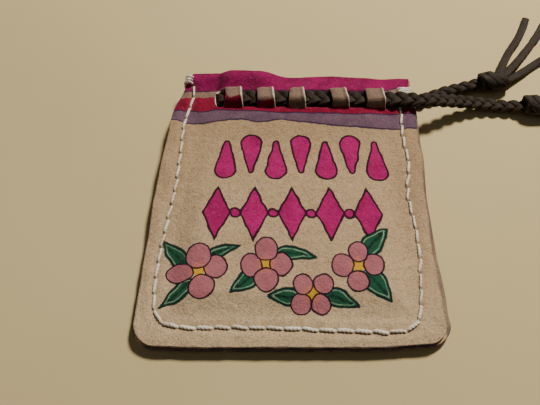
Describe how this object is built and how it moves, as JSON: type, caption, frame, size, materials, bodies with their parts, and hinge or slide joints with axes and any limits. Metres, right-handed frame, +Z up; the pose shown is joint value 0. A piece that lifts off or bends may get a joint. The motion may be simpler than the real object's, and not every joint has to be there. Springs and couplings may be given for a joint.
{
  "type": "leather drawstring medicine bag",
  "caption": "Small flat buckskin drawstring pouch with a painted front, sewn with waxed thread, closed by a braided lace that ends in knots with loose tails.",
  "frame": {"origin": "under the middle of the pouch, on the surface that its back lies on", "axes": "+X across the pouch towards the side where the drawstring leaves, +Y along the pouch towards its mouth, +Z up out of the painted front"},
  "size_m": [0.1814, 0.1525, 0.0133],
  "materials": {
    "painted_suede": "napped suede with dyed bands and painted flowers",
    "plain_suede": "napped suede",
    "waxed_thread": "waxed, off-white",
    "dark_lace": "dull dark grey-brown"
  },
  "bodies": {
    "root": {"front_panel": "painted_suede", "back_panel": "plain_suede", "seam_thread": "waxed_thread", "drawstring_woven": "dark_lace", "drawstring_end_front": "dark_lace", "drawstring_end_back": "dark_lace", "end_knot_front": "dark_lace", "end_knot_back": "dark_lace", "lace_tail_front_1": "dark_lace", "lace_tail_front_2": "dark_lace", "lace_tail_front_3": "dark_lace", "lace_tail_back_1": "dark_lace", "lace_tail_back_2": "dark_lace", "lace_tail_back_3": "dark_lace"}
  },
  "joints": []
}
